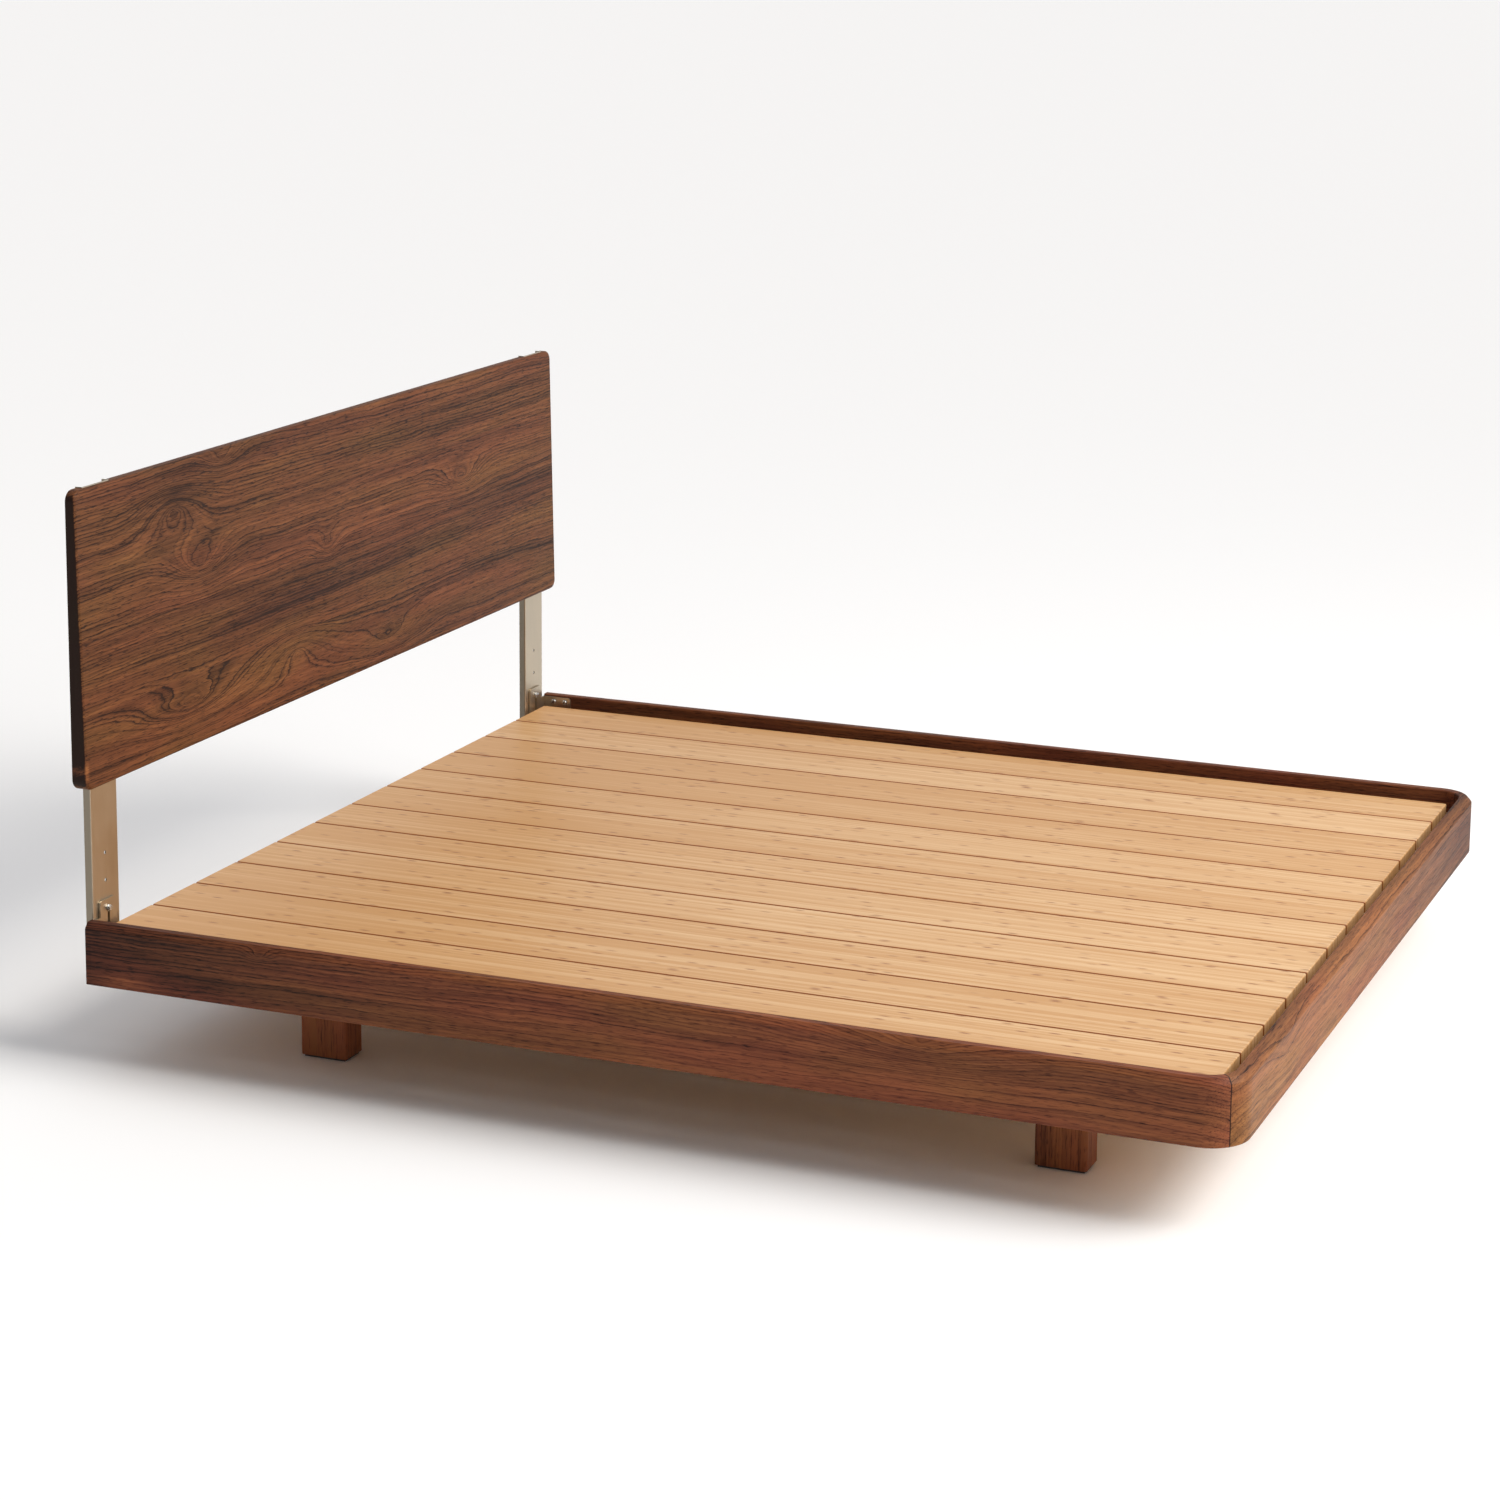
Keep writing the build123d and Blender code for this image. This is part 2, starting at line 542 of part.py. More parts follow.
def build():
    """Every node by name, with the fasteners' holes cut in the pieces they pass through."""
    nodes = {}

    tongue = mitre_tongue()
    corner = corner_screws()
    cleat = cleat_screws()
    angle = angle_screws()
    wing_bolts = bracket_bolts()
    foot_screws = foot_cleat_screws()
    beam_screws = centre_beam_screws()
    up_screws = slat_screws()
    bolts = {name: leg_bolts(*place) for name, place in LEG_PLACES.items()}
    all_leg_bolts = [bolt for both in bolts.values() for bolt in both]

    left = side_rail() - tongue - corner - cleat - angle - wing_bolts
    nodes["side_rail_left"] = left
    nodes["side_rail_right"] = mirrored(left)
    foot = foot_rail()
    for cutter in (tongue, mirrored(tongue), corner, mirrored(corner), foot_screws):
        foot = foot - cutter
    nodes["foot_rail"] = foot
    nodes["head_rail"] = head_rail() - angle - mirrored(angle)
    nodes["mitre_tongues"] = group(pair(tongue))
    nodes["corner_block_left"] = corner_block() - corner
    nodes["corner_block_right"] = mirrored(nodes["corner_block_left"])
    nodes["corner_screws"] = group(pair(corner))
    nodes["head_rail_angles"] = group(pair(head_rail_angle() - angle))
    nodes["head_rail_screws"] = group(pair(angle))

    nodes["side_cleat_left"] = side_cleat() - cleat
    nodes["side_cleat_right"] = mirrored(nodes["side_cleat_left"])
    nodes["side_cleat_screws"] = group(pair(cleat))
    nodes["foot_cleat"] = foot_cleat() - foot_screws
    nodes["foot_cleat_screws"] = foot_screws

    beams = {"leg_beam_foot": (LEG_FOOT_Y, LEG_BEAM_W), "leg_beam_head": (LEG_HEAD_Y, LEG_BEAM_W)}
    for number, y in enumerate(MIDDLE_BEARERS, 1):
        beams[f"bearer_{number}"] = (y, BEARER_W)
    for name, (y, width) in beams.items():
        nodes[name] = bearer(y, width) - beam_screws - up_screws - group(all_leg_bolts)
    nodes["centre_beam"] = centre_beam() - beam_screws
    nodes["centre_beam_screws"] = beam_screws
    centre_places = {"centre_leg_foot": MIDDLE_BEARERS[0], "centre_leg_head": MIDDLE_BEARERS[2]}
    for name, y in centre_places.items():
        nodes[name] = centre_leg(y) - centre_leg_foot(y)
    nodes["levelling_feet"] = group([centre_leg_foot(y) for y in centre_places.values()])

    for index in range(SLAT_COUNT):
        nodes[f"slat_{index + 1:02d}"] = slat(index) - up_screws
    nodes["slat_screws"] = up_screws

    for name, place in LEG_PLACES.items():
        nodes[name] = leg(*place) - group(bolts[name])
    nodes["leg_pads"] = group([leg_pad(*place) for place in LEG_PLACES.values()])
    nodes["leg_plates"] = group([leg_plate(*place) for place in LEG_PLACES.values()]) - group(all_leg_bolts)
    nodes["leg_bolts"] = group(all_leg_bolts)

    screws = panel_screws()
    nodes["headboard_panel"] = headboard_panel() - screws - mirrored(screws)
    left_post = post() - screws
    nodes["headboard_post_left"] = left_post
    nodes["headboard_post_right"] = mirrored(left_post)
    nodes["panel_screws"] = group(pair(screws))
    nodes["post_bolts"] = group(pair(post_bolt()))
    nodes["post_washers"] = group(pair(post_washer()))
    nodes["post_nuts"] = group(pair(post_nut()))

    nodes["post_bracket_left"] = bracket() - wing_bolts
    nodes["post_bracket_right"] = mirrored(nodes["post_bracket_left"])
    nodes["bracket_bolts"] = group(pair(wing_bolts))
    return nodes


for node_name, node_shape in build().items():
    export_step(node_shape, f"parts/{node_name}.step")
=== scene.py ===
"""Walnut bed frame: finishes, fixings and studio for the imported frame.

Lengths are in metres in the frame's own axes: +X across the bed, +Y towards the headboard, +Z up.
"""
import math

import bmesh
import bpy
from bpy.props import FloatProperty, FloatVectorProperty, PointerProperty
from mathutils import Matrix, Vector


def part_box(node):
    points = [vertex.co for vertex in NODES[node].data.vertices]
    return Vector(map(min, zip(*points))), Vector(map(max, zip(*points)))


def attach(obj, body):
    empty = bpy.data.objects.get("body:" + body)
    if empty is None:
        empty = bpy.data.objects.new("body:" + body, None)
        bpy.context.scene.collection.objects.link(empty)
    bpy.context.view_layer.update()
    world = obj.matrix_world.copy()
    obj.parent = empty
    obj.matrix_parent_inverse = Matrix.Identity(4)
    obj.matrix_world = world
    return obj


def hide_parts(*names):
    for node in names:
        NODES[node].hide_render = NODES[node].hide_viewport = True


bl_info = {
    "name": "Walnut Bed Frame",
    "version": (1, 0, 0),
    "blender": (4, 5, 0),
    "location": "View3D > Sidebar > Bed Frame",
    "description": "Finishes, fixings and studio for a walnut bed frame with a bamboo slat deck",
    "category": "Object",
}

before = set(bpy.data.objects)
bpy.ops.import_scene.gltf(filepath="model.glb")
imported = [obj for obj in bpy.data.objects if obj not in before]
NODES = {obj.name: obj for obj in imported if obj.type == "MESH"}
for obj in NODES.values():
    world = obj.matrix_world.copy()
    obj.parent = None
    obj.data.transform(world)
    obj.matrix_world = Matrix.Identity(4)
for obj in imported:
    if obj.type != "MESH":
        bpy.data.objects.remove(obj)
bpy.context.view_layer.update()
MM = 0.001
X, Y, Z = 0, 1, 2

M6_RADIUS = 2.9 * MM     # of the thread's crests
M6_PITCH = 1 * MM
SIDES = 24               # of a turned piece, and of the hexagons that meet one


def linear(colour):
    """An sRGB hex colour as the linear RGB that Blender mixes."""
    parts = [int(colour[i:i + 2], 16) / 255 for i in (1, 3, 5)]
    return tuple(c / 12.92 if c <= 0.04045 else ((c + 0.055) / 1.055) ** 2.4 for c in parts)


def opaque(colour):
    """Linear RGB with a full alpha, as colour sockets want it."""
    return (*colour, 1.0)


def add(tree, kind, values=(), out=0, **settings):
    """Adds a node, sets its properties, fills its sockets with constants or links, and gives one output."""
    made = tree.nodes.new(kind)
    for key, value in settings.items():
        setattr(made, key, value)
    for socket, value in dict(values).items():
        if isinstance(value, bpy.types.NodeSocket):
            tree.links.new(value, made.inputs[socket])
        else:
            made.inputs[socket].default_value = value
    return made.outputs[out]


def stops(socket, *pairs):
    """Gives a colour ramp its stops: each a place from 0 to 1 and a linear colour or a grey."""
    ramp = socket.node.color_ramp
    while len(ramp.elements) < len(pairs):
        ramp.elements.new(1.0)
    for element, (place, colour) in zip(ramp.elements, pairs):
        element.position = place
        grey = isinstance(colour, (int, float))
        element.color = (colour, colour, colour, 1.0) if grey else opaque(colour)
    return socket


def new_material(name):
    """An empty material: its tree, and its shader."""
    material = bpy.data.materials.new(name)
    material.use_nodes = True
    return material, material.node_tree, material.node_tree.nodes["Principled BSDF"]


def finish(material, *nodes):
    """Puts a material on CAD nodes."""
    for node in nodes:
        for part in NODES[node].material_slots:
            part.material = material


# ---------------------------------------------------------------- settings

class BED_PG_wood(bpy.types.PropertyGroup):
    """Colours and sizes of the woods."""
    walnut_light: FloatVectorProperty(
        name="Walnut light", description="Pale wood between the rings", subtype="COLOR", size=3,
        min=0, max=1, default=linear("#955C36"))
    walnut_heart: FloatVectorProperty(
        name="Walnut heart", description="Main heartwood colour", subtype="COLOR", size=3,
        min=0, max=1, default=linear("#693D25"))
    walnut_dark: FloatVectorProperty(
        name="Walnut dark", description="Late wood and dark streaks", subtype="COLOR", size=3,
        min=0, max=1, default=linear("#25120A"))
    bamboo_light: FloatVectorProperty(
        name="Bamboo light", description="Pale strips", subtype="COLOR", size=3,
        min=0, max=1, default=linear("#E8C394"))
    bamboo_dark: FloatVectorProperty(
        name="Bamboo dark", description="Darker strips", subtype="COLOR", size=3,
        min=0, max=1, default=linear("#C9975F"))
    ring_gap: FloatProperty(
        name="Ring gap", description="Distance between two growth rings", unit="LENGTH",
        min=0.002, max=0.03, default=6.5 * MM)
    strip_width: FloatProperty(
        name="Strip width", description="Width of one pressed bamboo strip", unit="LENGTH",
        min=0.003, max=0.02, default=5.5 * MM)


class BED_PG_metal(bpy.types.PropertyGroup):
    """Colours of the metal parts."""
    nickel: FloatVectorProperty(
        name="Nickel", description="Satin nickel plate on posts and brackets", subtype="COLOR", size=3,
        min=0, max=1, default=linear("#BDB09C"))
    zinc: FloatVectorProperty(
        name="Zinc", description="Bright zinc plate on the fixings", subtype="COLOR", size=3,
        min=0, max=1, default=linear("#C9CBCC"))


class BED_PG_studio(bpy.types.PropertyGroup):
    """Floor and light."""
    floor_colour: FloatVectorProperty(
        name="Floor", description="Colour of the studio floor", subtype="COLOR", size=3,
        min=0, max=1, default=linear("#FDFDFD"))
    key_strength: FloatProperty(
        name="Key light", description="Strength of the sun-like key light", min=0, max=20, default=2.05)
    softbox_power: FloatProperty(
        name="Softbox", description="Power of the softbox beyond the foot, in watts", min=0, max=500, default=60)
    sky_strength: FloatProperty(
        name="Sky", description="Strength of the even light all round", min=0, max=5, default=0.66)


# ---------------------------------------------------------------- woods

def patches(tree, flat, places, value):
    """Adds to a value, for each place, a soft oval hill: (u, v, half length, half height, amount)."""
    for u, v, length, height, amount in places:
        centred = add(tree, "ShaderNodeMapping", {"Vector": flat, "Location": (u, v, 0), "Scale": (length, height, 1)},
                      vector_type="TEXTURE")
        hill = add(tree, "ShaderNodeTexGradient", {"Vector": centred}, out="Fac", gradient_type="QUADRATIC_SPHERE")
        value = add(tree, "ShaderNodeMath", {0: hill, 1: amount, 2: value}, operation="MULTIPLY_ADD")
    return value


def walnut(name, along, across, seed=0.0, board=10.0, start=0.0, dark=0.0, uneven=0.1, swirl=9.0, slant=0.6,
           hue=0.0, rings_at=(), shades_at=(), mitre=None):
    """Black walnut, planed and oiled: dark wandering rings and streaks in brown heartwood, open pores, satin.

    along and across are the axes of the grain and of the board's width. board is a glued board's width, and
    the first one begins at start. dark moves the whole tone, and uneven is how much boards differ. swirl is
    how many rings the slow bends cover, and slant is the rings' slope through the thickness.
    hue turns the colour a little towards yellow. rings_at are places where the rings close round a knot or
    a cathedral, and shades_at places made darker, or lighter where the amount is below zero; some are painted shade.
    """
    wood = bpy.context.scene.bed_wood
    material, tree, shader = new_material(name)
    place = add(tree, "ShaderNodeTexCoord", out="Object")
    axes = add(tree, "ShaderNodeSeparateXYZ", {0: place}).node.outputs
    u, v, w = axes[along], axes[across], axes[3 - along - across]
    flat = add(tree, "ShaderNodeCombineXYZ", {0: u, 1: v})

    # each glued board is cut from another part of the log
    offset = add(tree, "ShaderNodeMath", {0: v, 1: start}, operation="SUBTRACT")
    count = add(tree, "ShaderNodeMath", {0: offset, 1: board}, operation="DIVIDE")
    number = add(tree, "ShaderNodeMath", {0: count}, operation="FLOOR")
    number = add(tree, "ShaderNodeMath", {0: number, 1: seed}, operation="ADD")
    lot = add(tree, "ShaderNodeTexWhiteNoise", {"W": number}, out="Color", noise_dimensions="1D")
    shift = add(tree, "ShaderNodeVectorMath", {0: lot, 1: (9, 5, 7)}, operation="MULTIPLY")
    grain = add(tree, "ShaderNodeCombineXYZ", {0: u, 1: v, 2: w})
    log = add(tree, "ShaderNodeVectorMath", {0: grain, 1: shift}, operation="ADD")

    # rings: straight across the board, bent by slow noise, closed round the knots
    slow_at = add(tree, "ShaderNodeMapping", {"Vector": log, "Scale": (1.3, 6.0, 6.0)})
    slow = add(tree, "ShaderNodeTexNoise", {"Vector": slow_at, "Scale": 1.0, "Detail": 2.0, "Roughness": 0.45})
    wobble_at = add(tree, "ShaderNodeMapping", {"Vector": log, "Scale": (9, 45, 45)})
    wobble = add(tree, "ShaderNodeTexNoise", {"Vector": wobble_at, "Scale": 1.0, "Detail": 5.0, "Roughness": 0.62})
    depth = add(tree, "ShaderNodeMath", {0: w, 1: slant, 2: v}, operation="MULTIPLY_ADD")
    phase = add(tree, "ShaderNodeMath", {0: depth, 1: 1 / wood.ring_gap}, operation="MULTIPLY")
    phase = add(tree, "ShaderNodeMath", {0: slow, 1: swirl, 2: phase}, operation="MULTIPLY_ADD")
    phase = add(tree, "ShaderNodeMath", {0: wobble, 1: 2.2, 2: phase}, operation="MULTIPLY_ADD")
    phase = patches(tree, flat, rings_at, phase)
    ring = add(tree, "ShaderNodeMath", {0: phase}, operation="FRACT")
    late = stops(add(tree, "ShaderNodeValToRGB", {0: ring}), (0.0, 0.2), (0.3, 0.0), (0.72, 0.35), (0.88, 1.0),
                 (0.95, 0.8), (1.0, 0.2))
    year = add(tree, "ShaderNodeMath", {0: phase}, operation="FLOOR")
    vigour = add(tree, "ShaderNodeTexWhiteNoise", {"W": year}, noise_dimensions="1D")
    late = add(tree, "ShaderNodeMath", {0: late, 1: vigour}, operation="MULTIPLY")

    # broad dark streaks follow the rings
    streak_at = add(tree, "ShaderNodeCombineXYZ", {0: phase, 1: u, 2: number})
    streak_at = add(tree, "ShaderNodeMapping", {"Vector": streak_at, "Scale": (0.5, 0.9, 3.7)})
    streak = add(tree, "ShaderNodeTexNoise", {"Vector": streak_at, "Scale": 1.0, "Detail": 3.0, "Roughness": 0.6})
    streak = stops(add(tree, "ShaderNodeValToRGB", {0: streak}), (0.40, 0.0), (0.74, 1.0))

    # fine fibres, and pores drawn about twice their real 0.3 mm so that they show
    fibre_at = add(tree, "ShaderNodeMapping", {"Vector": log, "Scale": (7, 190, 190)})
    fibre = add(tree, "ShaderNodeTexNoise", {"Vector": fibre_at, "Scale": 1.0, "Detail": 4.0, "Roughness": 0.75})
    pore_at = add(tree, "ShaderNodeMapping", {"Vector": log, "Scale": (45, 600, 600)})
    pore = add(tree, "ShaderNodeTexNoise", {"Vector": pore_at, "Scale": 1.0, "Detail": 1.0})
    pore = stops(add(tree, "ShaderNodeValToRGB", {0: pore}), (0.58, 0.0), (0.68, 1.0))

    # the tone: 0.15 or less is the light colour, 0.55 the heartwood and 1 the dark
    board_tone = add(tree, "ShaderNodeSeparateColor", {0: lot}, out=2)
    tone = dark - 0.11
    for part, share in ((streak, 0.31), (late, 0.55), (fibre, 0.78), (pore, 0.32), (board_tone, uneven)):
        tone = add(tree, "ShaderNodeMath", {0: part, 1: share, 2: tone}, operation="MULTIPLY_ADD")
    # places made darker or lighter; on the rails some of them are painted shade where the light falls off
    tone = patches(tree, flat, shades_at, tone)

    # end grain drinks more oil and goes dark
    facing = add(tree, "ShaderNodeSeparateXYZ", {0: add(tree, "ShaderNodeTexCoord", out="Normal")}).node
    end = add(tree, "ShaderNodeMath", {0: facing.outputs[along]}, operation="ABSOLUTE")
    end = stops(add(tree, "ShaderNodeValToRGB", {0: end}), (0.75, 0.0), (1.0, 1.0))
    tone = add(tree, "ShaderNodeMath", {0: end, 1: 0.75, 2: tone}, operation="MULTIPLY_ADD")
    if mitre is not None:
        tone = mitre_line(tree, axes, mitre, tone)

    colour = stops(add(tree, "ShaderNodeValToRGB", {0: tone}), (0.15, wood.walnut_light), (0.55, wood.walnut_heart),
                   (1.0, wood.walnut_dark))
    warm = add(tree, "ShaderNodeTexNoise", {"Vector": slow_at, "Scale": 2.3, "Detail": 1.0})
    red = add(tree, "ShaderNodeMapRange", {0: warm, 1: 0.35, 2: 0.7, 3: 0.488 + hue, 4: 0.502 + hue})
    colour = add(tree, "ShaderNodeHueSaturation", {"Hue": red, "Saturation": 1.0, "Color": colour})
    tree.links.new(colour, shader.inputs["Base Color"])

    polish = add(tree, "ShaderNodeMapRange", {0: fibre, 1: 0.2, 2: 0.8, 3: 0.44, 4: 0.6})
    tree.links.new(polish, shader.inputs["Roughness"])
    shader.inputs["IOR"].default_value = 1.42
    shader.inputs["Specular IOR Level"].default_value = 0.2
    relief = add(tree, "ShaderNodeMath", {0: pore, 1: fibre}, operation="ADD")
    relief = add(tree, "ShaderNodeBump", {"Height": relief, "Strength": 0.25, "Distance": 0.4 * MM}, invert=True)
    tree.links.new(relief, shader.inputs["Normal"])
    return material


def mitre_line(tree, axes, reach, tone):
    """Darkens a tone along the foot mitres, the planes where |x| + y is minus reach."""
    side = add(tree, "ShaderNodeMath", {0: axes[X]}, operation="ABSOLUTE")
    diagonal = add(tree, "ShaderNodeMath", {0: side, 1: axes[Y]}, operation="ADD")
    away = add(tree, "ShaderNodeMath", {0: diagonal, 1: reach}, operation="ADD")
    away = add(tree, "ShaderNodeMath", {0: away}, operation="ABSOLUTE")
    line = add(tree, "ShaderNodeMapRange", {0: away, 1: 0.6 * MM, 2: 1.8 * MM, 3: 0.9, 4: 0.0})
    return add(tree, "ShaderNodeMath", {0: line, 1: tone}, operation="ADD")


def bamboo(name, pitch):
    """Edge-pressed bamboo, lacquered: fine lengthwise strips, each with short dark nodes, satin.

    pitch is the distance between two slats, whose long edges are drawn darker and more orange.
    """
    wood = bpy.context.scene.bed_wood
    material, tree, shader = new_material(name)
    place = add(tree, "ShaderNodeTexCoord", out="Object")
    axes = add(tree, "ShaderNodeSeparateXYZ", {0: place}).node.outputs
    count = add(tree, "ShaderNodeMath", {0: axes[X], 1: wood.strip_width}, operation="DIVIDE")
    strip = add(tree, "ShaderNodeMath", {0: count}, operation="FLOOR")
    inside = add(tree, "ShaderNodeMath", {0: count}, operation="FRACT")
    lot = add(tree, "ShaderNodeTexWhiteNoise", {"W": strip}, out="Color", noise_dimensions="1D")
    lots = add(tree, "ShaderNodeSeparateColor", {0: lot}).node.outputs

    # nodes of the cane: about every 260 mm along each strip
    spaced = add(tree, "ShaderNodeMath", {0: axes[Y], 1: 1 / 0.26}, operation="MULTIPLY")
    spaced = add(tree, "ShaderNodeMath", {0: lots[0], 1: 6.0, 2: spaced}, operation="MULTIPLY_ADD")
    between = add(tree, "ShaderNodeMath", {0: spaced}, operation="FRACT")
    away = add(tree, "ShaderNodeMath", {0: between, 1: 0.5}, operation="SUBTRACT")
    away = add(tree, "ShaderNodeMath", {0: away}, operation="ABSOLUTE")
    knuckle = stops(add(tree, "ShaderNodeValToRGB", {0: away}), (0.012, 1.0), (0.05, 0.0))
    turn = add(tree, "ShaderNodeMath", {0: spaced}, operation="FLOOR")
    which = add(tree, "ShaderNodeCombineXYZ", {0: strip, 1: turn})
    force = add(tree, "ShaderNodeTexWhiteNoise", {"Vector": which}, noise_dimensions="2D")
    force = stops(add(tree, "ShaderNodeValToRGB", {0: force}), (0.35, 0.0), (1.0, 0.85))
    knuckle = add(tree, "ShaderNodeMath", {0: knuckle, 1: force}, operation="MULTIPLY")

    fibre_at = add(tree, "ShaderNodeMapping", {"Vector": place, "Scale": (230, 6, 230)})
    fibre = add(tree, "ShaderNodeTexNoise", {"Vector": fibre_at, "Scale": 1.0, "Detail": 4.0, "Roughness": 0.75})
    cloud_at = add(tree, "ShaderNodeMapping", {"Vector": place, "Scale": (14, 1.6, 14)})
    cloud = add(tree, "ShaderNodeTexNoise", {"Vector": cloud_at, "Scale": 1.0, "Detail": 2.0})
    slat = add(tree, "ShaderNodeMath", {0: axes[X], 1: pitch}, operation="DIVIDE")
    slat = add(tree, "ShaderNodeMath", {0: slat}, operation="FLOOR")
    batch = add(tree, "ShaderNodeTexWhiteNoise", {"W": slat}, noise_dimensions="1D")
    tone = -0.2
    for part, share in ((lots[1], 0.42), (fibre, 0.75), (cloud, 0.5), (batch, 0.22)):
        tone = add(tree, "ShaderNodeMath", {0: part, 1: share, 2: tone}, operation="MULTIPLY_ADD")
    # painted shade: the slats are drawn a little darker towards the headboard, where the light falls off
    painted_headward_shade = add(tree, "ShaderNodeMapRange", {0: axes[Y], 1: -0.4, 2: 1.0, 3: -0.08, 4: 0.14})
    tone = add(tree, "ShaderNodeMath", {0: painted_headward_shade, 1: tone}, operation="ADD")
    colour = stops(add(tree, "ShaderNodeValToRGB", {0: tone}), (0.15, wood.bamboo_light), (0.85, wood.bamboo_dark))

    # the long edges show the cane's darker skin
    facing = add(tree, "ShaderNodeSeparateXYZ", {0: add(tree, "ShaderNodeTexCoord", out="Normal")}, out=X)
    edge = add(tree, "ShaderNodeMath", {0: facing}, operation="ABSOLUTE")
    edge = stops(add(tree, "ShaderNodeValToRGB", {0: edge}), (0.05, 0.0), (0.55, 1.0))
    seam = stops(add(tree, "ShaderNodeValToRGB", {0: inside}), (0.0, 0.22), (0.12, 0.0), (0.88, 0.0), (1.0, 0.22))
    # the tint runs from 5 mm to 1.5 mm from the middle of the gap between two slats
    rim = add(tree, "ShaderNodeMath", {0: axes[X], 1: pitch}, operation="PINGPONG")
    rim = add(tree, "ShaderNodeMath", {0: rim, 1: pitch / 2}, operation="SUBTRACT")
    rim = add(tree, "ShaderNodeMath", {0: rim}, operation="ABSOLUTE")
    rim = add(tree, "ShaderNodeMapRange",
              {0: rim, 1: pitch / 2 - 5 * MM, 2: pitch / 2 - 1.5 * MM, 3: 0.0, 4: 0.75})
    for share, tint in ((seam, "#B98652"), (knuckle, "#9A6236"), (rim, "#B4702F"), (edge, "#96531F")):
        colour = add(tree, "ShaderNodeMix", {0: share, 6: colour, 7: opaque(linear(tint))}, out=2,
                     data_type="RGBA")
    tree.links.new(colour, shader.inputs["Base Color"])
    shader.inputs["Roughness"].default_value = 0.42
    shader.inputs["IOR"].default_value = 1.5
    relief = add(tree, "ShaderNodeBump", {"Height": fibre, "Strength": 0.15, "Distance": 0.3 * MM})
    tree.links.new(relief, shader.inputs["Normal"])
    return material


def softwood(name, along):
    """Planed pine: straight resinous rings and no finish."""
    material, tree, shader = new_material(name)
    place = add(tree, "ShaderNodeTexCoord", out="Object")
    stretch = [55, 55, 55]
    stretch[along] = 1.5
    grain_at = add(tree, "ShaderNodeMapping", {"Vector": place, "Scale": stretch})
    grain = add(tree, "ShaderNodeTexNoise", {"Vector": grain_at, "Scale": 1.0, "Detail": 3.0, "Distortion": 0.4})
    lines = add(tree, "ShaderNodeMath", {0: grain, 1: 9.0}, operation="MULTIPLY")
    lines = add(tree, "ShaderNodeMath", {0: lines}, operation="FRACT")
    colour = stops(add(tree, "ShaderNodeValToRGB", {0: lines}), (0.0, linear("#D9B98C")), (0.7, linear("#CFA873")),
                   (0.92, linear("#AE7F4C")), (1.0, linear("#D9B98C")))
    tree.links.new(colour, shader.inputs["Base Color"])
    shader.inputs["Roughness"].default_value = 0.62
    relief = add(tree, "ShaderNodeBump", {"Height": lines, "Strength": 0.2, "Distance": 0.2 * MM}, invert=True)
    tree.links.new(relief, shader.inputs["Normal"])
    return material


def plywood(name):
    """Birch plywood: pale plies about 1.3 mm thick with dark glue lines."""
    material, tree, shader = new_material(name)
    place = add(tree, "ShaderNodeTexCoord", out="Object")
    turned = add(tree, "ShaderNodeMapping", {"Vector": place, "Rotation": (0, 0, math.radians(45))})
    across = add(tree, "ShaderNodeSeparateXYZ", {0: turned}, out=X)
    plies = add(tree, "ShaderNodeMath", {0: across, 1: 1 / (1.3 * MM)}, operation="MULTIPLY")
    plies = add(tree, "ShaderNodeMath", {0: plies}, operation="FRACT")
    colour = stops(add(tree, "ShaderNodeValToRGB", {0: plies}), (0.0, linear("#6B4A2C")), (0.15, linear("#D3B487")),
                   (0.85, linear("#C7A577")), (1.0, linear("#6B4A2C")))
    tree.links.new(colour, shader.inputs["Base Color"])
    shader.inputs["Roughness"].default_value = 0.6
    return material


# ---------------------------------------------------------------- other finishes

def satin_nickel(name, colour, sides=1.0):
    """Nickel plate over brushed steel: a warm satin metal that takes its tint from what is beside it.

    sides is the share of its brightness that a face across the bed keeps; the rest is painted shade, for the darker
    surroundings those faces reflect.
    """
    material, tree, shader = new_material(name)
    place = add(tree, "ShaderNodeTexCoord", out="Object")
    # brushed up and down, with lines drawn about 1 mm wide so that they show
    brush_at = add(tree, "ShaderNodeMapping", {"Vector": place, "Scale": (900, 900, 14)})
    brush = add(tree, "ShaderNodeTexNoise", {"Vector": brush_at, "Scale": 1.0, "Detail": 3.0})
    haze = add(tree, "ShaderNodeTexNoise", {"Vector": place, "Scale": 9.0, "Detail": 3.0})
    mixed = add(tree, "ShaderNodeMath", {0: brush, 1: haze}, operation="ADD")
    gloss = add(tree, "ShaderNodeMapRange", {0: mixed, 1: 0.7, 2: 1.3, 3: 0.3, 4: 0.44})
    shade = add(tree, "ShaderNodeMapRange", {0: mixed, 1: 0.7, 2: 1.3, 3: 0.9, 4: 1.06})
    facing = add(tree, "ShaderNodeSeparateXYZ", {0: add(tree, "ShaderNodeTexCoord", out="Normal")}, out=X)
    side = add(tree, "ShaderNodeMath", {0: facing}, operation="ABSOLUTE")
    # painted shade: faces across the bed are darkened to the share that sides gives
    painted_side_shade = add(tree, "ShaderNodeMapRange", {0: side, 1: 0.5, 2: 0.9, 3: 1.0, 4: sides})
    shade = add(tree, "ShaderNodeMath", {0: shade, 1: painted_side_shade}, operation="MULTIPLY")
    tint = add(tree, "ShaderNodeHueSaturation", {"Value": shade, "Color": opaque(colour)})
    tree.links.new(tint, shader.inputs["Base Color"])
    tree.links.new(gloss, shader.inputs["Roughness"])
    shader.inputs["Metallic"].default_value = 1.0
    relief = add(tree, "ShaderNodeBump", {"Height": brush, "Strength": 0.12, "Distance": 0.1 * MM})
    tree.links.new(relief, shader.inputs["Normal"])
    return material


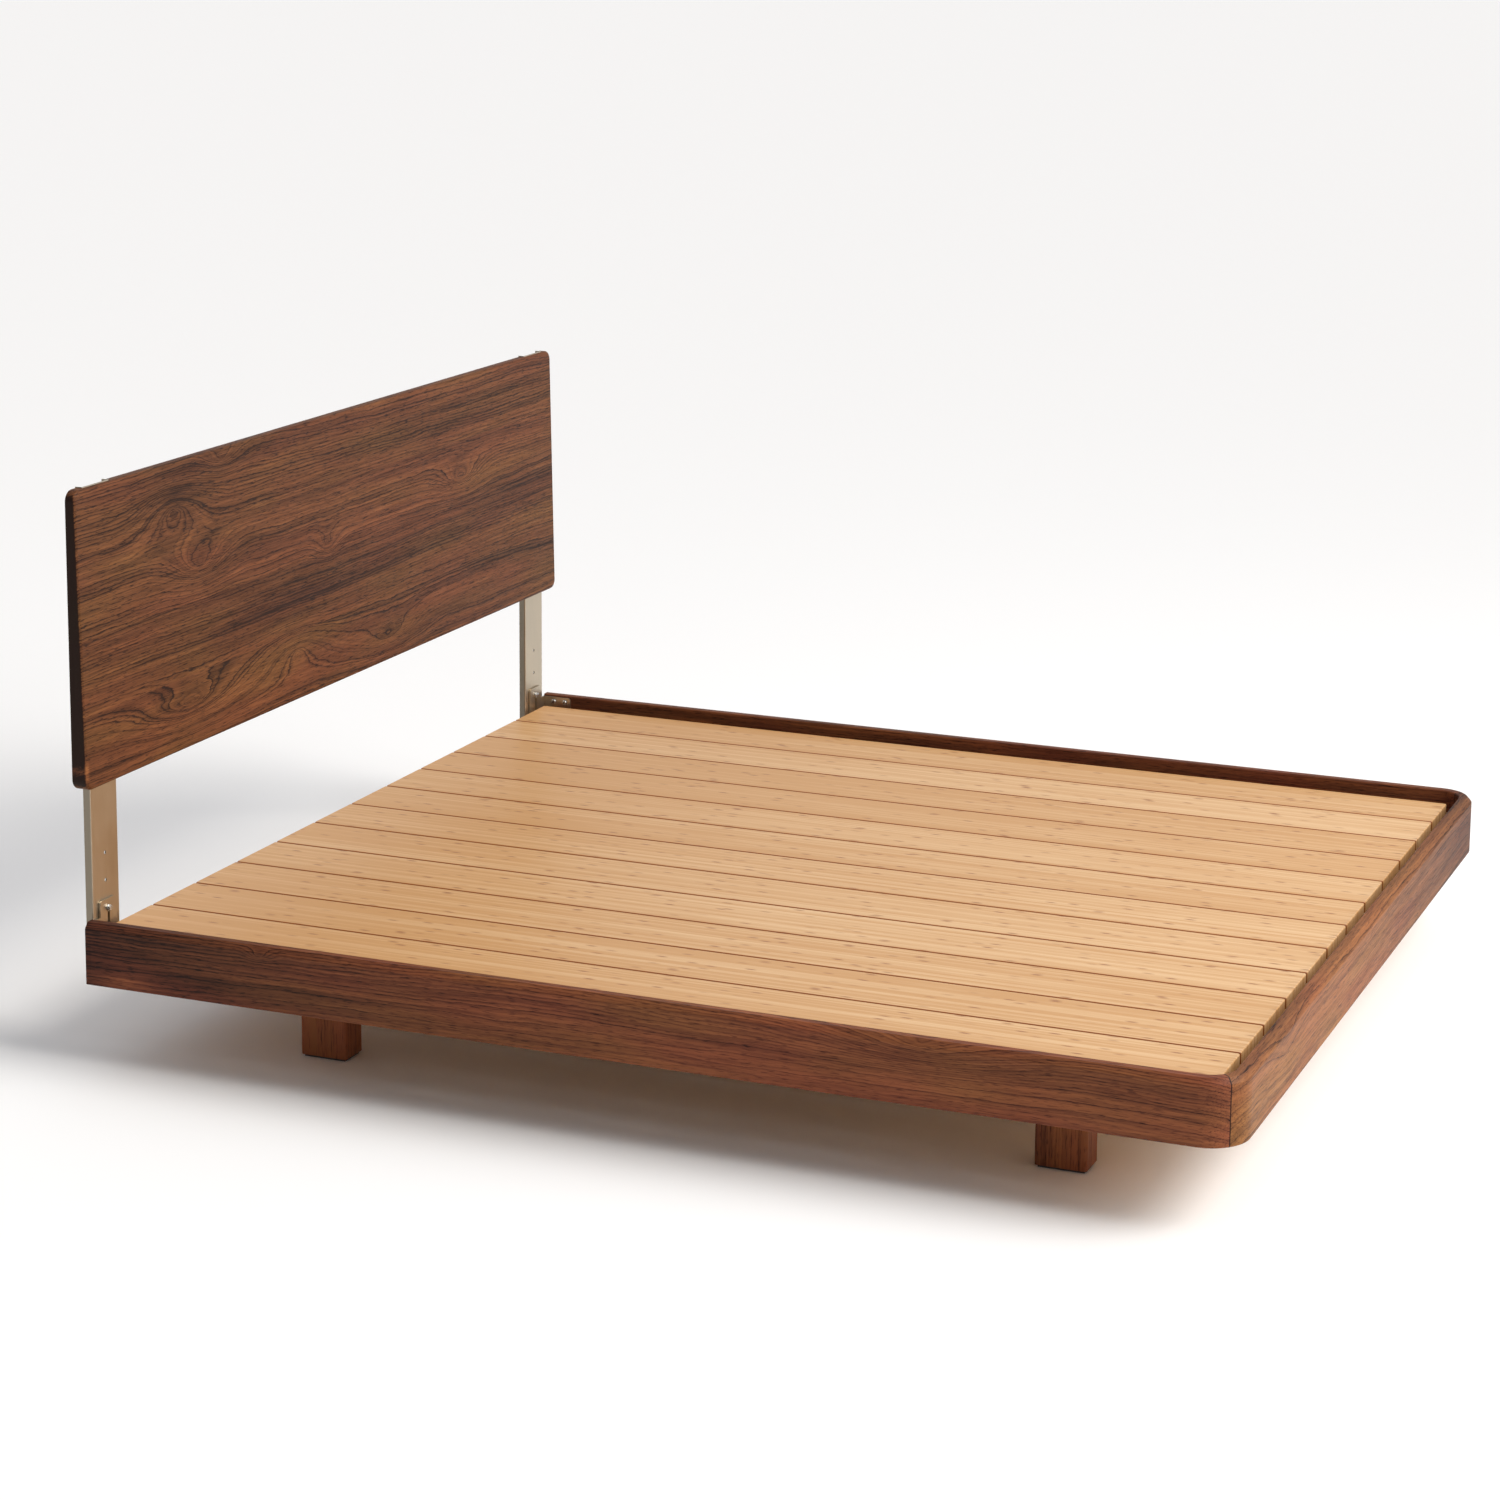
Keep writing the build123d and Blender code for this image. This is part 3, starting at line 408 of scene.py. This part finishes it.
def zinc_plate(name):
    """Bright zinc on steel fixings: a clear cold metal with a slightly uneven gloss."""
    material, tree, shader = new_material(name)
    place = add(tree, "ShaderNodeTexCoord", out="Object")
    smear = add(tree, "ShaderNodeTexNoise", {"Vector": place, "Scale": 1 / (2.5 * MM), "Detail": 3.0})
    gloss = add(tree, "ShaderNodeMapRange", {0: smear, 1: 0.3, 2: 0.7, 3: 0.2, 4: 0.36})
    shade = add(tree, "ShaderNodeMapRange", {0: smear, 1: 0.2, 2: 0.8, 3: 0.88, 4: 1.05})
    tint = add(tree, "ShaderNodeHueSaturation",
               {"Value": shade, "Color": opaque(bpy.context.scene.bed_metal.zinc)})
    tree.links.new(tint, shader.inputs["Base Color"])
    tree.links.new(gloss, shader.inputs["Roughness"])
    shader.inputs["Metallic"].default_value = 1.0
    return material


def wool_felt(name):
    """Pressed wool felt: dark, matt and fuzzy."""
    material, tree, shader = new_material(name)
    place = add(tree, "ShaderNodeTexCoord", out="Object")
    fuzz = add(tree, "ShaderNodeTexNoise", {"Vector": place, "Scale": 1 / (0.9 * MM), "Detail": 4.0})
    colour = stops(add(tree, "ShaderNodeValToRGB", {0: fuzz}), (0.3, linear("#2A2421")), (0.7, linear("#4B433D")))
    tree.links.new(colour, shader.inputs["Base Color"])
    shader.inputs["Roughness"].default_value = 0.95
    shader.inputs["Sheen Weight"].default_value = 0.4
    relief = add(tree, "ShaderNodeBump", {"Height": fuzz, "Strength": 0.6, "Distance": 0.5 * MM})
    tree.links.new(relief, shader.inputs["Normal"])
    return material


def moulded_plastic(name):
    """Black moulded plastic with a fine spark-eroded grain."""
    material, tree, shader = new_material(name)
    place = add(tree, "ShaderNodeTexCoord", out="Object")
    grain = add(tree, "ShaderNodeTexNoise", {"Vector": place, "Scale": 1 / (0.8 * MM), "Detail": 2.0})
    colour = stops(add(tree, "ShaderNodeValToRGB", {0: grain}), (0.3, linear("#17171A")), (0.7, linear("#26262A")))
    tree.links.new(colour, shader.inputs["Base Color"])
    shader.inputs["Roughness"].default_value = 0.5
    relief = add(tree, "ShaderNodeBump", {"Height": grain, "Strength": 0.2, "Distance": 0.1 * MM})
    tree.links.new(relief, shader.inputs["Normal"])
    return material


# ---------------------------------------------------------------- studio

class BED_OT_stage(bpy.types.Operator):
    """Lay the pale floor, set the lights and place the camera"""
    bl_idname = "bed.stage"
    bl_label = "Studio"

    def execute(self, context):
        studio = context.scene.bed_studio
        self.lay_floor(studio)
        self.set_lights(context, studio)
        self.place_camera(context)
        context.scene.view_settings.view_transform = "Standard"
        return {"FINISHED"}

    def lay_floor(self, studio):
        """A wide matt floor, far larger than any view of the bed."""
        shape = bmesh.new()
        bmesh.ops.create_grid(shape, x_segments=1, y_segments=1, size=60.0)
        floor = make_object("studio_floor", shape)
        material, tree, shader = new_material("matt_studio_floor")
        shader.inputs["Base Color"].default_value = opaque(studio.floor_colour)
        shader.inputs["Roughness"].default_value = 0.9
        floor.data.materials.append(material)

    def set_lights(self, context, studio):
        """A broad key and a softbox, both above and beyond the foot, and soft light all round."""
        world = bpy.data.worlds.new("studio_world")
        world.use_nodes = True
        tree = world.node_tree
        back = tree.nodes["Background"]
        back.inputs["Color"].default_value = opaque(linear("#FAFBFF"))
        # the studio is dimmer beyond the bed's left side, so that the satin finishes keep their depth
        towards = add(tree, "ShaderNodeSeparateXYZ", {0: add(tree, "ShaderNodeTexCoord", out="Generated")},
                      out=X)
        share = add(tree, "ShaderNodeMapRange", {0: towards, 1: -0.9, 2: 0.1, 3: 0.35, 4: 1.0},
                    interpolation_type="SMOOTHSTEP")
        share = add(tree, "ShaderNodeMath", {0: share, 1: studio.sky_strength}, operation="MULTIPLY")
        # but the backdrop itself is white all round
        seen = add(tree, "ShaderNodeLightPath", out="Is Camera Ray")
        share = add(tree, "ShaderNodeMath", {0: share, 1: seen}, operation="MAXIMUM")
        tree.links.new(share, back.inputs["Strength"])
        context.scene.world = world
        key = bpy.data.lights.new("key_light", "SUN")
        key.energy = studio.key_strength
        key.angle = math.radians(35)
        key.color = linear("#FFFAF2")
        self.aim("key_light", key, Vector((0.5, -4.5, 4.2)), Vector((0, 0, 0.3)))
        softbox = bpy.data.lights.new("foot_softbox", "AREA")
        softbox.shape = "RECTANGLE"
        softbox.size = 3.0
        softbox.size_y = 1.6
        softbox.energy = studio.softbox_power
        self.aim("foot_softbox", softbox, Vector((0.0, -3.0, 2.6)), Vector((0, -0.9, 0.2)))

    def aim(self, name, light, place, target):
        """Adds a light at a place, pointed at a target."""
        lamp = bpy.data.objects.new(name, light)
        lamp.location = place
        lamp.rotation_euler = (target - place).to_track_quat("-Z", "Y").to_euler()
        bpy.context.scene.collection.objects.link(lamp)

    def place_camera(self, context):
        """A long lens beyond the left side, a little above the headboard's top."""
        camera = bpy.data.objects.new("camera", bpy.data.cameras.new("camera"))
        camera.data.lens = 85.425
        camera.data.sensor_width = 36.0
        camera.data.shift_x = -0.0482
        camera.data.shift_y = -0.18
        yaw = math.radians(68.7713)
        tilt = math.radians(90 - 10.3068)
        roll = math.radians(0.6662)
        turn = Matrix.Rotation(-yaw, 4, "Z") @ Matrix.Rotation(tilt, 4, "X") @ Matrix.Rotation(roll, 4, "Z")
        camera.matrix_world = Matrix.Translation((-6.0176, -2.3174, 2.1372)) @ turn
        context.scene.collection.objects.link(camera)
        context.scene.camera = camera


def make_object(name, shape):
    """Turns a bmesh into an object at the origin."""
    mesh = bpy.data.meshes.new(name)
    shape.to_mesh(mesh)
    shape.free()
    made = bpy.data.objects.new(name, mesh)
    bpy.context.scene.collection.objects.link(made)
    return made


# ---------------------------------------------------------------- wooden parts

class BED_OT_rails(bpy.types.Operator):
    """Finish the side rails and the foot rail in walnut"""
    bl_idname = "bed.rails"
    bl_label = "Rails"

    def execute(self, context):
        # the mitre planes pass through the corners of the rails' outline
        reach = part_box("side_rail_left")[0].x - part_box("foot_rail")[0].y
        # the near rail's first shade place darkens its head end: partly the wood's own tone, partly painted shade
        # where the light falls off
        near = walnut("walnut_side_rail_left", Y, Z, seed=3, dark=-0.16, swirl=9, mitre=reach,
                      rings_at=[(-0.52, 0.25, 0.30, 0.08, 9), (0.68, 0.242, 0.05, 0.02, 4)],
                      shades_at=[(1.2, 0.20, 1.3, 0.4, 0.65), (0.95, 0.16, 0.14, 0.04, -0.5)])
        far = walnut("walnut_side_rail_right", Y, Z, seed=11, dark=0.08, swirl=6, mitre=reach)
        # painted shade: the foot rail's shade place darkens its far end, where its sheen is strongest
        foot = walnut("walnut_foot_rail", X, Z, seed=17, dark=-0.16, swirl=8, hue=0.01, mitre=reach,
                      rings_at=[(-0.65, 0.22, 0.2, 0.09, 4)], shades_at=[(0.9, 0.2, 1.2, 0.6, 0.4)])
        finish(near, "side_rail_left")
        finish(far, "side_rail_right")
        finish(foot, "foot_rail")
        return {"FINISHED"}


class BED_OT_slats(bpy.types.Operator):
    """Finish the slats in edge-pressed bamboo"""
    bl_idname = "bed.slats"
    bl_label = "Slats"

    def execute(self, context):
        names = [name for name in NODES if name.startswith("slat_") and name[5:].isdigit()]
        first, second = (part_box(name)[0].x for name in ("slat_01", "slat_02"))
        finish(bamboo("pressed_bamboo", abs(second - first)), *names)
        return {"FINISHED"}


class BED_OT_legs(bpy.types.Operator):
    """Finish the four legs in glued-up walnut with felt pads"""
    bl_idname = "bed.legs"
    bl_label = "Legs"

    def execute(self, context):
        names = ["leg_foot_left", "leg_foot_right", "leg_head_left", "leg_head_right"]
        for number, name in enumerate(names):
            # three laminations, of which the first is planed narrower
            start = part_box(name)[0].y - 6 * MM
            finish(walnut("walnut_" + name, Z, Y, seed=23 + 5 * number, board=32 * MM, start=start,
                          dark=-0.4, uneven=0.4, swirl=5), name)
        finish(wool_felt("wool_felt"), "leg_pads")
        return {"FINISHED"}


class BED_OT_headboard(bpy.types.Operator):
    """Finish the headboard panel in walnut boards glued edge to edge"""
    bl_idname = "bed.headboard"
    bl_label = "Headboard"

    boards = 4

    def execute(self, context):
        low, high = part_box("headboard_panel")
        width = (high.z - low.z) / self.boards
        # each place is u, v, half length, half height and amount
        ovals = [
            (-0.592, 0.576, 0.34, 0.085, 13), (-0.20, 0.585, 0.22, 0.09, -10), (0.16, 0.545, 0.30, 0.09, 10),
            (-0.072, 0.777, 0.09, 0.06, 7), (-0.538, 0.823, 0.20, 0.09, 11), (-0.62, 0.93, 0.22, 0.10, -12),
            (-0.448, 1.004, 0.13, 0.05, 7), (0.493, 0.814, 0.20, 0.07, 9),
        ]
        shades = [(-0.60, 0.96, 0.25, 0.09, 0.25), (-0.1, 0.70, 1.1, 0.08, 0.3), (0.7, 0.75, 0.6, 0.06, 0.25),
                  (-0.4, 0.56, 0.6, 0.09, -0.15), (low.x, low.z + 0.035, 0.015, 0.03, -0.8)]
        panel = walnut("walnut_headboard", X, Z, seed=31, board=width, start=low.z, dark=0.18, swirl=7,
                       hue=0.012, rings_at=ovals, shades_at=shades)
        finish(panel, "headboard_panel")
        return {"FINISHED"}


class BED_OT_underframe(bpy.types.Operator):
    """Finish the pine bearers, cleats and blocks, the plywood tongues and the levelling feet"""
    bl_idname = "bed.underframe"
    bl_label = "Underframe"

    def execute(self, context):
        across = softwood("pine_across", X)
        lengthwise = softwood("pine_lengthwise", Y)
        upright = softwood("pine_upright", Z)
        finish(across, "head_rail", "foot_cleat", "leg_beam_foot", "leg_beam_head", "bearer_1", "bearer_2",
               "bearer_3")
        finish(lengthwise, "side_cleat_left", "side_cleat_right", "centre_beam")
        finish(upright, "centre_leg_foot", "centre_leg_head", "corner_block_left", "corner_block_right")
        finish(plywood("birch_plywood"), "mitre_tongues")
        finish(moulded_plastic("black_moulded_plastic"), "levelling_feet")
        return {"FINISHED"}


# ---------------------------------------------------------------- metal parts

class BED_OT_posts(bpy.types.Operator):
    """Finish the posts, brackets and steel plates in satin nickel"""
    bl_idname = "bed.posts"
    bl_label = "Posts and brackets"

    def execute(self, context):
        nickel = context.scene.bed_metal.nickel
        # painted shade: the posts' folded sides are drawn darker than their faces, for the darker surroundings they
        # reflect
        finish(satin_nickel("satin_nickel_folded", nickel, sides=0.5),
               "headboard_post_left", "headboard_post_right")
        finish(satin_nickel("satin_nickel_plate", nickel), "post_bracket_left", "post_bracket_right",
               "head_rail_angles", "leg_plates")
        return {"FINISHED"}


class BED_OT_screws(bpy.types.Operator):
    """Finish the wood screws and the leg bolts in bright zinc"""
    bl_idname = "bed.screws"
    bl_label = "Wood screws"

    def execute(self, context):
        finish(zinc_plate("bright_zinc_plate"), "corner_screws", "head_rail_screws", "side_cleat_screws",
               "foot_cleat_screws", "centre_beam_screws", "slat_screws", "leg_bolts")
        return {"FINISHED"}


def turned(shape, outline):
    """Spins an outline of (radius, height) about Z and merges its poles."""
    points = [shape.verts.new((radius, 0, height)) for radius, height in outline]
    edges = [shape.edges.new(ends) for ends in zip(points, points[1:])]
    bmesh.ops.spin(shape, geom=points + edges, axis=(0, 0, 1), cent=(0, 0, 0), steps=SIDES,
                   angle=2 * math.pi, use_merge=True)
    bmesh.ops.remove_doubles(shape, verts=shape.verts, dist=0.001 * MM)


def hexagon_loop(shape, across, height):
    """A hexagon of that size across its flats, divided to match a turned piece."""
    corner = across / 2 / math.cos(math.radians(30))
    ring = bmesh.ops.create_circle(shape, segments=6, radius=corner, cap_ends=False)["verts"]
    edges = list({edge for vert in ring for edge in vert.link_edges})
    cut = bmesh.ops.subdivide_edges(shape, edges=edges, cuts=SIDES // 6 - 1)["geom_split"]
    edges = [item for item in cut if isinstance(item, bmesh.types.BMEdge)]
    points = list({vert for edge in edges for vert in edge.verts})
    bmesh.ops.translate(shape, verts=points, vec=(0, 0, height))
    return edges


def socket_head(shape, radius, height, socket):
    """A domed head standing on Z = 0 with a hexagon socket in its top."""
    flat = radius * 0.62
    skirt = height * 0.45
    dome = [(flat + (radius - flat) * math.cos(turn), skirt + (height - skirt) * math.sin(turn))
            for turn in (math.radians(15 * step) for step in range(7))]
    turned(shape, [(0, 0), (radius, 0), *dome])
    top = [edge for edge in shape.edges if edge.is_boundary]
    inner = hexagon_loop(shape, socket, height)
    bmesh.ops.bridge_loops(shape, edges=top + inner)
    walls = bmesh.ops.extrude_edge_only(shape, edges=inner)["geom"]
    deep = [item for item in walls if isinstance(item, bmesh.types.BMVert)]
    bmesh.ops.translate(shape, verts=deep, vec=(0, 0, -0.55 * height))
    bmesh.ops.holes_fill(shape, edges=[edge for edge in shape.edges if edge.is_boundary])


def threaded_shank(shape, radius, length, pitch, plain=0.0):
    """A shank from Z = 0 down, with a V thread below its plain part, drawn as rings."""
    root, tip = radius * 0.82, radius * 0.7
    teeth = int((length - plain) / pitch) - 1
    outline = [(0, 0), (radius, 0), (radius, -plain)]
    for tooth in range(teeth):
        outline.append((root, -plain - pitch * (tooth + 0.5)))
        outline.append((radius, -plain - pitch * (tooth + 1)))
    outline.extend([(tip, -length), (0, -length)])
    turned(shape, outline)


def placed_copies(name, build, places):
    """One object from a piece built about Z and repeated by each of the places' matrices."""
    whole = bmesh.new()
    piece = bmesh.new()
    build(piece)
    bmesh.ops.recalc_face_normals(piece, faces=piece.faces)
    mesh = bpy.data.meshes.new("pattern")
    piece.to_mesh(mesh)
    piece.free()
    for place in places:
        before = len(whole.verts)
        whole.from_mesh(mesh)
        whole.verts.ensure_lookup_table()
        fresh = whole.verts[before:]
        bmesh.ops.transform(whole, matrix=place, verts=fresh)
    bpy.data.meshes.remove(mesh)
    made = make_object(name, whole)
    made.data.shade_smooth()
    made.data.set_sharp_from_angle(angle=math.radians(32))
    return made


FORWARDS = Matrix.Rotation(math.radians(90), 4, "X")      # turns +Z to -Y
BACKWARDS = Matrix.Rotation(math.radians(-90), 4, "X")    # turns +Z to +Y
RIGHTWARDS = Matrix.Rotation(math.radians(90), 4, "Y")    # turns +Z to +X
LEFTWARDS = Matrix.Rotation(math.radians(-90), 4, "Y")    # turns +Z to -X


def both_sides(place, turn, mirrored=None):
    """The matrices of a turned piece at a place and at its mirror image across the bed."""
    x, y, z = place
    return [Matrix.Translation((x, y, z)) @ turn, Matrix.Translation((-x, y, z)) @ (mirrored or turn)]


def fixing(name, build, places, body, node):
    """A zinc fixing that stands for a CAD node and rides on a body."""
    made = placed_copies(name, build, places)
    plate = bpy.data.materials.get("bright_zinc_fixing") or zinc_plate("bright_zinc_fixing")
    made.data.materials.append(plate)
    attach(made, body)
    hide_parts(node)
    return made


class BED_OT_post_bolts(bpy.types.Operator):
    """Make the hexagon bolts, washers and nuts that hold the posts to their brackets"""
    bl_idname = "bed.post_bolts"
    bl_label = "Post bolts"

    head_height = 4.2 * MM
    across = 10 * MM         # the flats of head and nut
    plain = 4 * MM           # shank without a thread
    bore = M6_RADIUS + 0.1 * MM

    def execute(self, context):
        low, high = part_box("post_washers")
        nut_low, nut_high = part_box("post_nuts")
        self.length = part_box("post_bolts")[1].y - low.y
        self.washer_radius = (high.z - low.z) / 2
        self.washer_height = high.y - low.y
        self.nut_height = nut_high.y - nut_low.y
        # the right bolt's axis; the left one is its mirror image
        x, z = high.x - self.washer_radius, (low.z + high.z) / 2
        fixing("hex_bolts", self.bolt, both_sides((x, low.y, z), FORWARDS), "headboard", "post_bolts")
        fixing("plain_washers", self.ring, both_sides((x, low.y, z), BACKWARDS), "headboard", "post_washers")
        fixing("hex_nuts", self.hex_nut, both_sides((x, nut_low.y, z), BACKWARDS), "headboard", "post_nuts")
        return {"FINISHED"}

    def bolt(self, shape):
        """A hexagon head with a chamfered crown, and its threaded shank."""
        edges = hexagon_loop(shape, self.across, 0)
        bmesh.ops.holes_fill(shape, edges=edges)
        head = bmesh.ops.extrude_face_region(shape, geom=list(shape.faces))["geom"]
        top = [item for item in head if isinstance(item, bmesh.types.BMVert)]
        bmesh.ops.translate(shape, verts=top, vec=(0, 0, self.head_height))
        rim = [edge for edge in shape.edges if all(vert in top for vert in edge.verts)]
        bmesh.ops.bevel(shape, geom=rim, offset=0.7 * MM, affect="EDGES", segments=2, profile=0.5, material=-1)
        threaded_shank(shape, M6_RADIUS, self.length, M6_PITCH, plain=self.plain)

    def ring(self, shape):
        """A flat washer with eased edges."""
        radius, height, ease = self.washer_radius, self.washer_height, 0.15 * MM
        turned(shape, [(self.bore, 0), (radius - ease, 0), (radius, ease), (radius, height - ease),
                       (radius - ease, height), (self.bore, height), (self.bore, 0)])

    def hex_nut(self, shape):
        """A hexagon nut with eased corners and a plain bore."""
        outer = hexagon_loop(shape, self.across, 0)
        before = set(shape.edges)
        bmesh.ops.create_circle(shape, segments=SIDES, radius=self.bore, cap_ends=False)
        inner = [edge for edge in shape.edges if edge not in before]
        bmesh.ops.bridge_loops(shape, edges=outer + inner)
        grown = bmesh.ops.extrude_face_region(shape, geom=list(shape.faces))["geom"]
        top = [item for item in grown if isinstance(item, bmesh.types.BMVert)]
        bmesh.ops.translate(shape, verts=top, vec=(0, 0, self.nut_height))
        outside = self.across * 0.49
        rim = [edge for edge in shape.edges
               if all(vert in top and vert.co.xy.length > outside for vert in edge.verts)]
        bmesh.ops.bevel(shape, geom=rim, offset=0.5 * MM, affect="EDGES", segments=2, profile=0.5, material=-1)


class BED_OT_socket_screws(bpy.types.Operator):
    """Make the button-head bolts of the brackets and the pan-head screws of the panel"""
    bl_idname = "bed.socket_screws"
    bl_label = "Socket screws"

    wing_thickness = 4 * MM
    button_height = 3.5 * MM
    button_socket = 4 * MM       # across the flats
    button_plain = 5 * MM        # shank without a thread
    pan_radius = 4.5 * MM
    pan_height = 2.5 * MM
    pan_socket = 3 * MM
    wood_screw_radius = 2.2 * MM
    wood_screw_pitch = 1.2 * MM
    rows = 3                     # of screws in each post

    def execute(self, context):
        self.bracket_bolts()
        self.panel_screws()
        return {"FINISHED"}

    def bracket_bolts(self):
        """Two bolts through each bracket's wing, with their heads towards the middle of the bed."""
        low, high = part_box("bracket_bolts")
        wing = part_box("post_bracket_left")[0].x + self.wing_thickness
        radius = (high.z - low.z) / 2
        length = high.x - abs(wing)
        places = []
        for y in (low.y + radius, high.y - radius):
            places.extend(both_sides((wing, y, (low.z + high.z) / 2), RIGHTWARDS, LEFTWARDS))

        def build(shape):
            socket_head(shape, radius, self.button_height, self.button_socket)
            threaded_shank(shape, M6_RADIUS, length, M6_PITCH, plain=self.button_plain)

        fixing("button_head_bolts", build, places, "frame", "bracket_bolts")

    def panel_screws(self):
        """Six screws through each post's web into the panel, with their heads in the channel."""
        low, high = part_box("panel_screws")
        post_low, post_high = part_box("headboard_post_left")
        post = (post_low.x + post_high.x) / 2
        from_middle = high.x + post - self.pan_radius
        bearing = high.y - self.pan_height
        rise = (high.z - low.z - 2 * self.pan_radius) / (self.rows - 1)
        places = []
        for row in range(self.rows):
            z = low.z + self.pan_radius + row * rise
            for side in (-1, 1):
                places.extend(both_sides((post + side * from_middle, bearing, z), BACKWARDS))

        def build(shape):
            socket_head(shape, self.pan_radius, self.pan_height, self.pan_socket)
            threaded_shank(shape, self.wood_screw_radius, bearing - low.y, self.wood_screw_pitch)

        fixing("pan_head_screws", build, places, "headboard", "panel_screws")


class BED_PT_panel(bpy.types.Panel):
    """Sidebar panel with the settings and the steps"""
    bl_label = "Walnut Bed Frame"
    bl_idname = "BED_PT_panel"
    bl_space_type = "VIEW_3D"
    bl_region_type = "UI"
    bl_category = "Bed Frame"

    def draw(self, context):
        for group in (context.scene.bed_wood, context.scene.bed_metal, context.scene.bed_studio):
            box = self.layout.box()
            for key in group.__annotations__:
                box.prop(group, key)
        for step in STEPS:
            self.layout.operator(step.bl_idname)


SETTINGS = {"bed_wood": BED_PG_wood, "bed_metal": BED_PG_metal, "bed_studio": BED_PG_studio}
STEPS = (BED_OT_stage, BED_OT_rails, BED_OT_slats, BED_OT_legs, BED_OT_headboard, BED_OT_underframe, BED_OT_posts,
         BED_OT_screws, BED_OT_post_bolts, BED_OT_socket_screws)


def register():
    for kind in (*SETTINGS.values(), *STEPS, BED_PT_panel):
        bpy.utils.register_class(kind)
    for name, kind in SETTINGS.items():
        setattr(bpy.types.Scene, name, PointerProperty(type=kind))


def unregister():
    for name in SETTINGS:
        delattr(bpy.types.Scene, name)
    for kind in reversed((*SETTINGS.values(), *STEPS, BED_PT_panel)):
        bpy.utils.unregister_class(kind)


def main():
    register()
    for step in STEPS:
        area, name = step.bl_idname.split(".")
        getattr(getattr(bpy.ops, area), name)()


if __name__ == "__main__":
    main()
